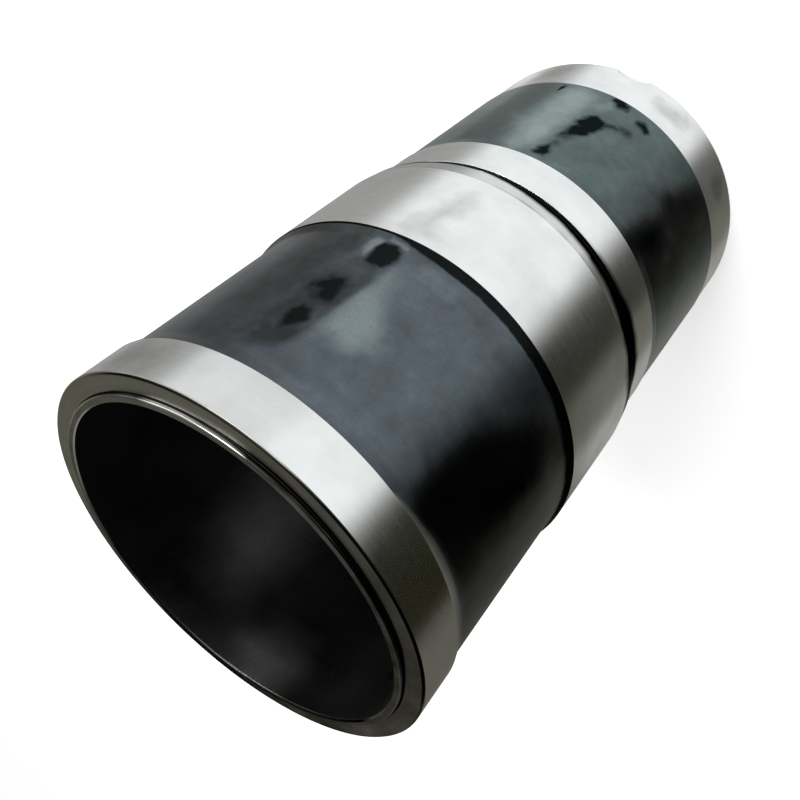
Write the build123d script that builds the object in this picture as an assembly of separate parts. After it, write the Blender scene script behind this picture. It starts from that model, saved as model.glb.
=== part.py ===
"""Wet cylinder liner of a truck diesel engine, turned from one centrifugally cast iron tube.

The liner stands on its lower end, as it does in the block. The row frame's origin is the centre
of the lower end face, +Z runs up the bore axis to the fire face, and the notch in the lower
end faces +X. All sizes are in millimetres.
"""

from build123d import *
import os

# Driving sizes: the bore, and the steps of the wall from one turned band to the next
bore_diameter = 114.0
upper_jacket_wall = 7.1
press_band_rise = 1.375
stop_band_rise = 1.3
seat_taper_drop = 0.8
seat_step = 1.6
undercut_depth = 0.8
lower_jacket_drop = 0.4
end_band_drop = 0.4

# Driving sizes: lengths along the axis, from the fire face down to the lower end
press_band_length = 15.8
press_band_taper = 4.8
upper_jacket_length = 59.1
shoulder_length = 3.1
stop_band_length = 40.4
seat_taper_length = 7.0
undercut_width = 4.0
pilot_length = 16.9
pilot_taper = 4.2
lower_jacket_length = 57.7
end_band_taper = 0.6
end_band_length = 23.7

# Driving sizes: fire ring round the mouth of the bore
fire_ring_wall = 2.5
fire_ring_height = 1.3
fire_ring_chamfer = 0.5

# Driving sizes: edge breaks, tool radii and lead-ins
top_edge_chamfer = 0.45
stop_band_edge_radius = 0.4
seat_edge_radius = 0.4
seat_root_radius = 1.0
end_chamfer_width = 0.5
end_chamfer_length = 0.6
bore_mouth_chamfer = 0.4
bore_lead_width = 1.2
bore_lead_length = 3.0

# Driving sizes: notch in the lower end that clears the oil jet under the piston
jet_notch_radius = 8.0
jet_notch_height = 4.9

# Radii, each stepped from the band beside it
bore_radius = bore_diameter / 2
fire_ring_radius = bore_radius + fire_ring_wall
upper_jacket_radius = bore_radius + upper_jacket_wall
press_band_radius = upper_jacket_radius + press_band_rise
stop_band_radius = upper_jacket_radius + stop_band_rise
seat_radius = stop_band_radius - seat_taper_drop
pilot_radius = seat_radius - seat_step
undercut_radius = pilot_radius - undercut_depth
lower_jacket_radius = pilot_radius - lower_jacket_drop
end_band_radius = lower_jacket_radius - end_band_drop

# Heights, stacked up from the lower end
end_band_top = end_band_length
lower_jacket_bottom = end_band_top + end_band_taper
lower_jacket_top = lower_jacket_bottom + lower_jacket_length
pilot_bottom = lower_jacket_top + pilot_taper
pilot_top = pilot_bottom + pilot_length
seat_height = pilot_top + undercut_width
stop_band_bottom = seat_height + seat_taper_length
stop_band_top = stop_band_bottom + stop_band_length
upper_jacket_bottom = stop_band_top + shoulder_length
upper_jacket_top = upper_jacket_bottom + upper_jacket_length
press_band_bottom = upper_jacket_top + press_band_taper
fire_face_height = press_band_bottom + press_band_length
liner_height = fire_face_height + fire_ring_height


def half_section() -> Sketch:
    """Return the wall's half section in the XZ plane, with its corners still sharp."""
    outside = [
        (end_band_radius - end_chamfer_width, 0),
        (end_band_radius, end_chamfer_length),
        (end_band_radius, end_band_top),
        (lower_jacket_radius, lower_jacket_bottom),
        (lower_jacket_radius, lower_jacket_top),
        (pilot_radius, pilot_bottom),
        (pilot_radius, pilot_top),
        (undercut_radius, pilot_top),
        (undercut_radius, seat_height),
        (seat_radius, seat_height),
        (stop_band_radius, stop_band_bottom),
        (stop_band_radius, stop_band_top),
        (upper_jacket_radius, upper_jacket_bottom),
        (upper_jacket_radius, upper_jacket_top),
        (press_band_radius, press_band_bottom),
        (press_band_radius, fire_face_height - top_edge_chamfer),
        (press_band_radius - top_edge_chamfer, fire_face_height),
    ]
    fire_ring = [
        (fire_ring_radius, fire_face_height),
        (fire_ring_radius, liner_height - fire_ring_chamfer),
        (fire_ring_radius - fire_ring_chamfer, liner_height),
        (bore_radius + bore_mouth_chamfer, liner_height),
    ]
    bore_wall = [
        (bore_radius, liner_height - bore_mouth_chamfer),
        (bore_radius, bore_lead_length),
        (bore_radius + bore_lead_width, 0),
    ]
    outline = Polyline(*outside, *fire_ring, *bore_wall, close=True)
    return Plane.XZ * make_face(outline)


def round_corner(section: Sketch, radius: float, height: float, rounding: float) -> Sketch:
    """Return the half section with the corner at a radius and a height rounded."""
    target = Vector(radius, 0, height)
    corner = min(section.vertices(), key=lambda vertex: (Vector(vertex) - target).length)
    return fillet(corner, rounding)


def turned_section() -> Sketch:
    """Return the half section with the radii that the turning tools leave."""
    section = half_section()
    section = round_corner(section, undercut_radius, seat_height, seat_root_radius)
    section = round_corner(section, seat_radius, seat_height, seat_edge_radius)
    return round_corner(section, stop_band_radius, stop_band_top, stop_band_edge_radius)


def jet_notch() -> Part:
    """Return the round cutter that crosses the wall at +X and leaves the oil jet's notch."""
    wall = end_band_radius - bore_radius
    cutter = Cylinder(jet_notch_radius, 4 * wall, rotation=(0, 90, 0))
    return Pos(bore_radius + wall / 2, 0, jet_notch_height - jet_notch_radius) * cutter


def cylinder_liner() -> Part:
    """Return the finished liner: the section turned round the bore axis, less the notch."""
    turned = revolve(turned_section(), Axis.Z)
    return turned - jet_notch()


liner = cylinder_liner()
os.makedirs("parts", exist_ok=True)
export_step(liner, "parts/cylinder_liner.step")
print("press band diameter", round(2 * press_band_radius, 3), "pilot", round(2 * pilot_radius, 3))
print("seat height", round(seat_height, 3), "liner height", round(liner_height, 3))
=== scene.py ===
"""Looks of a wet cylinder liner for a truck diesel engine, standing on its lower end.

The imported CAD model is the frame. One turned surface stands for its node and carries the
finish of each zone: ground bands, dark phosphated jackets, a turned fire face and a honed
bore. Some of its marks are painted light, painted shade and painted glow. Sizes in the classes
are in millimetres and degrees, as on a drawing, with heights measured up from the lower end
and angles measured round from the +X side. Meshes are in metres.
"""

import functools
import logging
import math
from dataclasses import dataclass
from enum import Enum
from typing import Any

import bpy
import numpy as np
from mathutils import Matrix, Vector


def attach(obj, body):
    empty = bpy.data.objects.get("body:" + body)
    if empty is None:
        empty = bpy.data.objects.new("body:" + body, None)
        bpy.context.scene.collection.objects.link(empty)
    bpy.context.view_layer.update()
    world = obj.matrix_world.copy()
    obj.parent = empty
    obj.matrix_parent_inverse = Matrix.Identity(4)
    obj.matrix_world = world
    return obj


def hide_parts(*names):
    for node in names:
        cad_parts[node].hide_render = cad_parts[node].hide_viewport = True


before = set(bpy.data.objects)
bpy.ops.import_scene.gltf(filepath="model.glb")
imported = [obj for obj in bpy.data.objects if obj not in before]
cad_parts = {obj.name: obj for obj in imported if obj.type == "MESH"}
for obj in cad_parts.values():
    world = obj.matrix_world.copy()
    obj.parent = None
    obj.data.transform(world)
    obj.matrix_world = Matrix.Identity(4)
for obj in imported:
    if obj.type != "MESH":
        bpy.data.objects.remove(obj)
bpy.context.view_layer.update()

log = logging.getLogger("cylinder_liner")

MM = 0.001
Colour = tuple[float, float, float]
Span = tuple[float, float]
Window = tuple[float, float, float, float]
Table = tuple[Span, ...]
WHITE: Colour = (1.0, 1.0, 1.0)


class Zone(Enum):
    """The parts of the section that are finished differently. The value is the material slot."""

    GROUND = 0
    UPPER_JACKET = 1
    LOWER_JACKET = 2
    SHOULDER = 3
    UNDERCUT = 4
    SEAT_TAPER = 5
    FIRE_FACE = 6
    RING_TOP = 7
    BORE = 8
    TURNED_END = 9


class Field(Enum):
    """Surface fields that the meshes carry as point attributes for the materials to read."""

    # Film, with stripes of painted light and painted shade on the jackets and painted glow in the
    # bore.
    FILM = "film"
    # Staining, with a painted shade band along the foot of the shoulder.
    STAIN = "stain_and_shade"
    TARNISH = "tarnish"
    # Painted shade: darkening painted by angle round the rim and along the seat taper's edges.
    SOOT = "painted_shade"
    # Wear, with stripes of painted light near the jackets' outlines.
    WORN = "worn"


def smooth_window(values: np.ndarray, low: float, high: float, soft: float) -> np.ndarray:
    """Weighs values by a window with soft edges.

    The weight is one between low and high. Beyond each edge it falls to zero over the soft
    width, along the smooth cubic 3t^2 - 2t^3.

    Args:
        values: Where to weigh, of any shape.
        low: Start of the full window.
        high: End of the full window.
        soft: Width of each falling edge.

    Returns:
        Weights between zero and one, shaped as values.
    """
    outside = np.maximum(np.maximum(low - values, values - high), 0.0)
    t = 1.0 - np.clip(outside / soft, 0.0, 1.0)
    return t * t * (3.0 - 2.0 * t)


def turn_between(angles: np.ndarray, centre: float) -> np.ndarray:
    """Gives how far each angle is from the centre angle, the short way round, in degrees."""
    return (angles - centre + 180.0) % 360.0 - 180.0


def read_table(table: Table, angles: np.ndarray) -> np.ndarray:
    """Reads a table of (angle, value) rows round the axis, in straight lines between the rows."""
    return np.interp(angles, *np.array(table).T, period=360.0)


def place_object(name: str, data: bpy.types.ID) -> bpy.types.Object:
    """Makes an object of a mesh, lamp or camera and puts it in the scene.

    Args:
        name: Name of the object.
        data: The mesh, lamp or camera.

    Returns:
        The object.
    """
    placed = bpy.data.objects.new(name, data)
    bpy.context.scene.collection.objects.link(placed)
    return placed


class Graph:
    """A node tree being built, with short ways to add nodes and to join them."""

    def __init__(self, tree: bpy.types.NodeTree) -> None:
        """Takes the tree and clears it."""
        tree.nodes.clear()
        self.tree = tree

    def add(self, kind: str, inputs: dict[Any, Any] | None = None, **settings: Any) -> Any:
        """Adds a node.

        Args:
            kind: Blender's name for the node type.
            inputs: Values or output sockets, by the name or number of the input.
            **settings: Properties of the node, which are set before its inputs.

        Returns:
            The new node.
        """
        node = self.tree.nodes.new(kind)
        for name, value in settings.items():
            setattr(node, name, value)
        for name, value in (inputs or {}).items():
            if isinstance(value, bpy.types.NodeSocket):
                self.tree.links.new(value, node.inputs[name])
            else:
                node.inputs[name].default_value = value
        return node

    def place(self) -> Any:
        """Gives the Object coordinates, in metres."""
        return self.add("ShaderNodeTexCoord").outputs["Object"]

    def drawn_round(self, share: float) -> Any:
        """Gives the Object coordinates, stretched round the axis by one over share."""
        inputs = {"Vector": self.place(), "Scale": (share, share, 1.0)}
        return self.add("ShaderNodeMapping", inputs).outputs["Vector"]

    def noise(self, vector: Any, scale: float, detail: float = 2.0, rough: float = 0.5) -> Any:
        """Gives a noise between zero and one, with features of 1 / scale and detail octaves."""
        inputs = {"Vector": vector, "Scale": scale, "Detail": detail, "Roughness": rough}
        return self.add("ShaderNodeTexNoise", inputs).outputs["Fac"]

    def maths(self, operation: str, first: Any, second: Any = 0.0, clamp: bool = False) -> Any:
        """Works out one sum on two values.

        Args:
            operation: Blender's name for the sum.
            first: First value or output socket.
            second: Second value or output socket.
            clamp: Whether the result is held between zero and one.

        Returns:
            The result's output socket.
        """
        node = self.add("ShaderNodeMath", {0: first, 1: second}, operation=operation)
        node.use_clamp = clamp
        return node.outputs[0]

    def times(self, first: Any, second: Any) -> Any:
        """Gives the product of two values."""
        return self.maths("MULTIPLY", first, second)

    def plus(self, first: Any, second: Any) -> Any:
        """Gives the sum of two values."""
        return self.maths("ADD", first, second)

    def span(
        self, value: Any, start: float, end: float, low: float = 0.0, high: float = 1.0
    ) -> Any:
        """Maps start..end to low..high, held at both ends."""
        inputs = {0: value, 1: start, 2: end, 3: low, 4: high}
        return self.add("ShaderNodeMapRange", inputs).outputs[0]

    def sway(self, noise: Any, low: float, high: float, reach: float = 0.2) -> Any:
        """Maps a noise's usual values, which lie within reach of a half, to low..high."""
        return self.span(noise, 0.5 - reach, 0.5 + reach, low, high)

    def about(self, noise: Any, middle: float, spread: Span) -> Any:
        """Maps a noise's usual values to the spread's two ends either side of a middle value."""
        return self.sway(noise, middle + spread[0], middle + spread[1])

    def blend(self, factor: Any, first: Any, second: Any) -> Any:
        """Mixes two colours.

        Args:
            factor: Share of the second, from zero to one.
            first: Colour at factor zero.
            second: Colour at factor one.

        Returns:
            The mixed colour's output socket.
        """
        pair = [(*c, 1.0) if isinstance(c, tuple) else c for c in (first, second)]
        inputs = {0: factor, 6: pair[0], 7: pair[1]}
        return self.add("ShaderNodeMix", inputs, data_type="RGBA").outputs[2]

    def shade(self, colour: Any, amount: Any) -> Any:
        """Multiplies a colour by a value."""
        inputs = {0: colour, "Scale": amount}
        return self.add("ShaderNodeVectorMath", inputs, operation="SCALE").outputs[0]

    def read(self, which: Field) -> Any:
        """Gives one of the mesh's own fields."""
        return self.add("ShaderNodeAttribute", attribute_name=which.value).outputs["Fac"]

    def ragged(self, which: Field, noise: Any, swing: float, reach: float = 0.2) -> Any:
        """Gives a field moved by a noise, by up to swing either way, which frays its edges."""
        return self.plus(self.read(which), self.sway(noise, -swing, swing, reach))

    def bump(self, height: Any, depth: float, over: Any = None) -> Any:
        """Turns a height field into a normal.

        Args:
            height: Height from zero to one.
            depth: What a height of one stands for, in metres.
            over: A normal that this bump lies on.

        Returns:
            The normal's output socket.
        """
        inputs = {"Height": height, "Distance": depth}
        if over is not None:
            inputs["Normal"] = over
        return self.add("ShaderNodeBump", inputs).outputs["Normal"]

    def toned(self, *parts: tuple[Any, Span]) -> Any:
        """Gives the product of noises, each with its usual values mapped to its own span."""
        tones = [self.sway(noise, *span) for noise, span in parts]
        return functools.reduce(self.times, tones)

    def surface(
        self, colour: Any, rough: Any, normal: Any, edge: Any = (*WHITE, 1.0), metal: float = 1.0
    ) -> None:
        """Ends the tree in a Principled shader.

        Args:
            colour: Base colour.
            rough: Roughness.
            normal: Normal.
            edge: Tint of what the surface mirrors at a low slant.
            metal: How far it is a metal, from zero to one.
        """
        inputs = {"Base Color": colour, "Roughness": rough, "Normal": normal}
        inputs |= {"Specular Tint": edge, "Metallic": metal}
        shader = self.add("ShaderNodeBsdfPrincipled", inputs)
        self.add("ShaderNodeOutputMaterial", {"Surface": shader.outputs[0]})


def empty_material(name: str) -> tuple[bpy.types.Material, Graph]:
    """Makes a material with an empty node tree.

    Args:
        name: Name of the material.

    Returns:
        The material, and the graph that builds its nodes.
    """
    material = bpy.data.materials.new(name)
    material.use_nodes = True
    return material, Graph(material.node_tree)


@dataclass(frozen=True)
class Finish:
    """A finish of the liner's steel, made into a material."""

    name: str
    tint: Colour

    def make(self) -> bpy.types.Material:
        """Makes the material.

        Returns:
            The material, with its nodes built by paint.
        """
        material, graph = empty_material(self.name)
        material.diffuse_color = (*self.tint, 1.0)
        self.paint(graph)
        return material

    def paint(self, graph: Graph) -> None:
        """Builds the nodes. Each kind of finish has its own."""
        raise NotImplementedError


@dataclass(frozen=True)
class GroundSteel(Finish):
    """Steel ground round and round: bright and softly frosted, with a fine lay along the rings.

    Tarnish greys it and painted shade blackens it.
    """

    roughness: float = 0.23
    lay_per_metre: float = 2600.0
    lay_share: float = 0.03
    lay_depth: float = 0.0000007
    lay_tone: Span = (0.98, 1.015)
    lay_rough: Span = (-0.015, 0.02)
    cloud_per_metre: float = 62.0
    cloud_span: Span = (0.35, 0.7)
    cloud_tone: Span = (1.03, 0.9)
    cloud_rough: Span = (-0.02, 0.03)
    dulled: float = 0.64
    dull_fray: float = 0.2
    dull_span: Span = (0.25, 0.9)
    shade_dark: Colour = (0.012, 0.012, 0.011)
    shade_edge: Colour = (0.2, 0.2, 0.2)
    shade_fray: float = 0.12
    shade_span: Span = (0.2, 0.6)

    def paint(self, graph: Graph) -> None:
        """Builds the nodes: ring-wise lay, cloudy mottling, tarnish and painted shade.

        Args:
            graph: The material's graph.
        """
        lay = graph.noise(graph.drawn_round(self.lay_share), self.lay_per_metre)
        cloud = graph.noise(graph.place(), self.cloud_per_metre, detail=3.0, rough=0.55)
        cloudy = graph.span(cloud, *self.cloud_span, *self.cloud_tone)
        tone = graph.times(graph.sway(lay, *self.lay_tone), cloudy)
        dull = graph.span(graph.ragged(Field.TARNISH, cloud, self.dull_fray), *self.dull_span)
        colour = graph.blend(dull, self.tint, tuple(self.dulled * c for c in self.tint))
        # Painted shade: the shade field paints the steel black and dims the tint of its mirrored
        # light.
        black = graph.span(graph.ragged(Field.SOOT, cloud, self.shade_fray), *self.shade_span)
        rough = graph.about(lay, self.roughness, self.lay_rough)
        graph.surface(
            colour=graph.blend(black, graph.shade(colour, tone), self.shade_dark),
            rough=graph.plus(rough, graph.sway(cloud, *self.cloud_rough)),
            normal=graph.bump(lay, self.lay_depth),
            edge=graph.blend(black, WHITE, self.shade_edge),
        )


@dataclass(frozen=True)
class Phosphate(Finish):
    """Dark manganese phosphate with an oil film: cloudy, pale with haze, black with staining or
    worn in places, with stripes of painted light and painted shade.
    """

    oily_and_shaded: Colour = (0.038, 0.042, 0.044)
    hazed_and_lit: Colour = (0.232, 0.278, 0.28)
    stain_and_shade_black: Colour = (0.0105, 0.0128, 0.0125)
    stain_and_shade_edge: Colour = (0.42, 0.46, 0.45)
    bared_and_lit: Colour = (0.46, 0.45, 0.42)
    roughness: float = 0.33
    metal: float = 0.96
    cloud_per_metre: float = 70.0
    ragged_per_metre: float = 210.0
    crystal_per_metre: float = 2600.0
    crystal_depth: float = 0.0000028
    crystal_tone: Span = (0.88, 1.12)
    rings_per_metre: float = 1500.0
    ring_share: float = 0.02
    ring_depth: float = 0.000002
    ring_tone: Span = (0.96, 1.04)
    film_fray: float = 0.18
    film_grain: float = 0.05
    film_rough: Span = (-0.03, 0.08)
    oily_and_shaded_span: Span = (0.0, 0.5)
    hazed_and_lit_span: Span = (0.5, 1.0)
    fray_reach: float = 0.25
    stain_and_shade_fray: float = 0.3
    stain_and_shade_span: Span = (0.2, 0.76)
    painted_black_span: Span = (-0.5, 0.05)
    black_gloss: float = 0.08

    def paint(self, graph: Graph) -> None:
        """Builds the nodes: a film ramp from black over dark and plain to pale, ragged staining,
        crystal grain, and the painted light and painted shade that the fields carry.

        Args:
            graph: The material's graph.
        """
        cloud = graph.noise(graph.place(), self.cloud_per_metre, detail=4.0, rough=0.6)
        ragged = graph.noise(graph.place(), self.ragged_per_metre, detail=3.0)
        crystal = graph.noise(graph.place(), self.crystal_per_metre, rough=0.65)
        rings = graph.noise(graph.drawn_round(self.ring_share), self.rings_per_metre)
        # The film field carries real film and stripes of painted light and painted shade.
        film = graph.ragged(Field.FILM, cloud, self.film_fray, self.fray_reach)
        film = graph.plus(film, graph.sway(ragged, -self.film_grain, self.film_grain))
        colour = graph.blend(graph.span(film, *self.oily_and_shaded_span), self.oily_and_shaded, self.tint)
        colour = graph.blend(graph.span(film, *self.hazed_and_lit_span), colour, self.hazed_and_lit)
        # The wear field carries real wear and stripes of painted light near the outlines, in the
        # pale colour.
        colour = graph.blend(graph.read(Field.WORN), colour, self.bared_and_lit)
        # The staining field holds real staining and a painted shade band along the shoulder.
        stain_and_shade = graph.ragged(Field.STAIN, ragged, self.stain_and_shade_fray, self.fray_reach)
        stain_and_shade = graph.span(stain_and_shade, *self.stain_and_shade_span)
        # Painted shade: where film and wear sum below zero the phosphate is painted black.
        painted_black = graph.plus(film, graph.read(Field.WORN))
        painted_black = graph.span(painted_black, *self.painted_black_span, 1.0, 0.0)
        stain_and_shade = graph.maths("MAXIMUM", stain_and_shade, painted_black)
        tone = graph.toned((crystal, self.crystal_tone), (rings, self.ring_tone))
        smooth, dry = (self.roughness + change for change in self.film_rough)
        rough = graph.span(film, 0.0, 1.0, smooth, dry)
        gloss = graph.times(stain_and_shade, self.black_gloss)
        lay = graph.bump(rings, self.ring_depth)
        graph.surface(
            colour=graph.blend(stain_and_shade, graph.shade(colour, tone), self.stain_and_shade_black),
            rough=graph.maths("SUBTRACT", rough, gloss),
            normal=graph.bump(crystal, self.crystal_depth, lay),
            edge=graph.blend(stain_and_shade, WHITE, self.stain_and_shade_edge),
            metal=self.metal,
        )


@dataclass(frozen=True)
class PaintedShadeFinish(Finish):
    """Painted shade: steel coloured nearly black on the shoulder's rounding, at the ring's foot and
    in the undercut groove, where shade falls.
    """

    roughness: float = 0.36
    edge: Colour = (0.3, 0.3, 0.3)
    cloud_per_metre: float = 120.0
    grain_per_metre: float = 2400.0
    grain_depth: float = 0.000003
    cloud_tone: Span = (0.75, 1.25)
    grain_tone: Span = (0.85, 1.15)

    def paint(self, graph: Graph) -> None:
        """Builds the nodes: a painted black shade with a little cloud and grain.

        Args:
            graph: The material's graph.
        """
        cloud = graph.noise(graph.place(), self.cloud_per_metre, detail=4.0, rough=0.6)
        grain = graph.noise(graph.place(), self.grain_per_metre, rough=0.6)
        tone = graph.toned((cloud, self.cloud_tone), (grain, self.grain_tone))
        colour = graph.shade(self.tint, tone)
        normal = graph.bump(grain, self.grain_depth)
        graph.surface(colour, self.roughness, normal, edge=(*self.edge, 1.0))


@dataclass(frozen=True)
class TurnedSteel(Finish):
    """Steel faced in a lathe: fine rings about the axis, a little oil and tarnish, and painted
    shade.
    """

    roughness: float = 0.3
    rings_per_metre: float = 2200.0
    ring_lean: float = 0.37
    ring_depth: float = 0.0000025
    ring_tone: Span = (0.9, 1.08)
    cloud_per_metre: float = 70.0
    cloud_tone: Span = (0.88, 1.1)
    cloud_rough: Span = (-0.04, 0.05)
    grain_per_metre: float = 2100.0
    grain_tone: Span = (0.95, 1.05)
    shade_dark: float = 0.04
    shade_edge: Colour = (0.22, 0.21, 0.2)
    shade_fray: float = 0.1
    shade_span: Span = (0.1, 0.7)
    edge_span: Span = (0.05, 0.45)

    def paint(self, graph: Graph) -> None:
        """Builds the nodes: rings by distance from the axis, with cloudy tarnish and painted shade.

        Args:
            graph: The material's graph.
        """
        flat = {0: graph.place(), 1: (1.0, 1.0, 0.0)}
        flat = graph.add("ShaderNodeVectorMath", flat, operation="MULTIPLY").outputs[0]
        reach = graph.add("ShaderNodeVectorMath", {0: flat}, operation="LENGTH").outputs["Value"]
        slope = {"X": reach, "Z": graph.times(reach, self.ring_lean)}
        slope = graph.add("ShaderNodeCombineXYZ", slope).outputs[0]
        rings = graph.noise(slope, self.rings_per_metre, detail=3.0, rough=0.6)
        cloud = graph.noise(graph.place(), self.cloud_per_metre, detail=4.0, rough=0.6)
        grain = graph.noise(graph.place(), self.grain_per_metre, rough=0.6)
        # Painted shade: the shade field darkens the tone and dims the tint of the mirrored light.
        painted_shade = graph.ragged(Field.SOOT, cloud, self.shade_fray)
        tone = graph.toned(
            (rings, self.ring_tone), (cloud, self.cloud_tone), (grain, self.grain_tone)
        )
        tone = graph.times(tone, graph.span(painted_shade, *self.shade_span, 1.0, self.shade_dark))
        edge = graph.blend(graph.span(painted_shade, *self.edge_span), WHITE, self.shade_edge)
        rough = graph.about(cloud, self.roughness, self.cloud_rough)
        normal = graph.bump(rings, self.ring_depth)
        graph.surface(graph.shade(self.tint, tone), rough, normal, edge)


@dataclass(frozen=True)
class HonedBore(Finish):
    """Bore wall with crossed honing lines under an oil film, its tone raised in patches as painted
    glow.
    """

    roughness: float = 0.3
    hatch_turns: float = 46.0
    hatch_rise: float = 62.0
    lines_per_step: float = 9.0
    hatch_depth: float = 0.000002
    hatch_tone: Span = (0.88, 1.1)
    line_reach: float = 0.15
    cloud_per_metre: float = 42.0
    cloud_tone: Span = (0.85, 1.15)
    cloud_rough: Span = (-0.04, 0.05)

    def paint(self, graph: Graph) -> None:
        """Builds the nodes: two families of slanting lines on the wall's own map, and oil.

        Args:
            graph: The material's graph.
        """
        wrap = graph.add("ShaderNodeUVMap", uv_map="wrap").outputs[0]
        parts = graph.add("ShaderNodeSeparateXYZ", {0: wrap}).outputs
        across = graph.times(parts["X"], self.hatch_turns)
        up = graph.times(parts["Y"], self.hatch_rise)
        cloud = graph.noise(graph.place(), self.cloud_per_metre, detail=3.0, rough=0.55)
        lines = []
        for slant in ("ADD", "SUBTRACT"):
            inputs = {"W": graph.maths(slant, across, up), "Scale": self.lines_per_step}
            line = graph.add("ShaderNodeTexNoise", inputs, noise_dimensions="1D")
            lines.append(graph.sway(line.outputs["Fac"], 0.0, 1.0, self.line_reach))
        hatch = graph.times(*lines)
        tone = graph.span(hatch, 0.0, 1.0, *self.hatch_tone)
        tone = graph.times(tone, graph.sway(cloud, *self.cloud_tone))
        # Painted glow: the film field raises the bore's tone in patches.
        tone = graph.times(tone, graph.read(Field.FILM))
        rough = graph.about(cloud, self.roughness, self.cloud_rough)
        normal = graph.bump(hatch, self.hatch_depth)
        graph.surface(graph.shade(self.tint, tone), rough, normal)


def nearest_on_link(
    across: np.ndarray, up: np.ndarray, run: np.ndarray, rise: float
) -> tuple[np.ndarray, np.ndarray]:
    """Finds the nearest place on a straight link from (0, 0) to (run, rise).

    Args:
        across: Where the points are along the flat wall, in mm.
        up: Where the points are up it, in mm.
        run: How far along the link ends.
        rise: How far up the link ends.

    Returns:
        How far along the link the place is, from zero to one, and its distance in mm.
    """
    share = np.clip((across * run + up * rise) / (run**2 + rise**2), 0.0, 1.0)
    return share, np.hypot(across - share * run, up - share * rise)


class Mark:
    """A soft-edged mark on the wall, which is laid out flat for it."""

    level: float
    core: float

    def reach(self, angles: np.ndarray, heights: np.ndarray, radii: np.ndarray) -> np.ndarray:
        """Gives how deep inside the mark each point lies. Each kind of mark has its own."""
        raise NotImplementedError


@dataclass(frozen=True)
class Blot(Mark):
    """A mark within an outline.

    Each place of the outline is the angle round from +X and the height up, in degrees and mm.
    soft is how far out the mark fades, in mm. core is the depth at which a film is drawn fully
    to the mark's level.
    """

    outline: Table
    level: float = 1.0
    soft: float = 1.2
    core: float = 1.0

    def reach(self, angles: np.ndarray, heights: np.ndarray, radii: np.ndarray) -> np.ndarray:
        """Gives the depth of each point from its distance to the outline.

        A point is inside where a line from it towards greater angles crosses the outline an
        odd number of times. The depth is a half on the outline. It rises in a straight line
        to one at soft inside, and falls to zero at soft outside.

        Args:
            angles: Angles of the points in degrees.
            heights: Heights of the points in mm.
            radii: Radii of the points in mm.

        Returns:
            Depths between zero and one.
        """
        middle = (min(self.outline)[0] + max(self.outline)[0]) / 2.0
        turn = turn_between(angles, middle)
        nearest = np.full(angles.shape, np.inf)
        inside = np.zeros(angles.shape, bool)
        for (angle, height), (next_angle, next_height) in zip(
            self.outline, self.outline[1:] + self.outline[:1]
        ):
            across = np.radians(turn - angle + middle) * radii
            up = heights - height
            run = math.radians(next_angle - angle) * radii
            rise = next_height - height
            _, distance = nearest_on_link(across, up, run, rise)
            nearest = np.minimum(nearest, distance)
            if rise != 0.0:
                inside ^= ((up < 0.0) != (up < rise)) & (across < run * up / rise)
        depth = np.where(inside, nearest, -nearest)
        return np.clip(0.5 + depth / (2.0 * self.soft), 0.0, 1.0)


@dataclass(frozen=True)
class Smear(Mark):
    """A mark along a chain of places.

    Each place is the angle round from +X, the height up and the half width there, in degrees
    and mm. tall is how much taller than wide the mark is at each place. core is the depth at
    which a film is drawn fully to the mark's level: the greater it is, the softer the edge.
    """

    path: tuple[tuple[float, float, float], ...]
    level: float = 1.0
    tall: float = 1.6
    core: float = 0.5

    def reach(self, angles: np.ndarray, heights: np.ndarray, radii: np.ndarray) -> np.ndarray:
        """Gives the depth of each point from its distance to the chain.

        Heights count over tall. For each link of the chain, the distance from the nearest
        place on the link is taken over the half width there. The depth is one on the chain
        and falls in a straight line to zero at twice the half width. The deepest link counts.

        Args:
            angles: Angles of the points in degrees.
            heights: Heights of the points in mm.
            radii: Radii of the points in mm.

        Returns:
            Depths between zero and one.
        """
        deepest = np.zeros(angles.shape)
        for (angle, height, half), (next_angle, next_height, next_half) in zip(
            self.path[:-1], self.path[1:]
        ):
            across = np.radians(turn_between(angles, angle)) * radii
            up = (heights - height) / self.tall
            run = math.radians(next_angle - angle) * radii
            rise = (next_height - height) / self.tall
            share, distance = nearest_on_link(across, up, run, rise)
            depth = 1.0 - distance / (2.0 * (half + (next_half - half) * share))
            deepest = np.maximum(deepest, depth)
        return deepest


@dataclass(frozen=True)
class Corner:
    """A corner of the turned section, in mm.

    zone is the finish of the run that starts here. The edge radius rounds the corner, in arcs
    steps, and the rounding takes the finish of edge_zone, or of the run that starts here.
    """

    radius: float
    height: float
    zone: Zone
    edge: float = 0.15
    arcs: int = 2
    edge_zone: Zone | None = None


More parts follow.
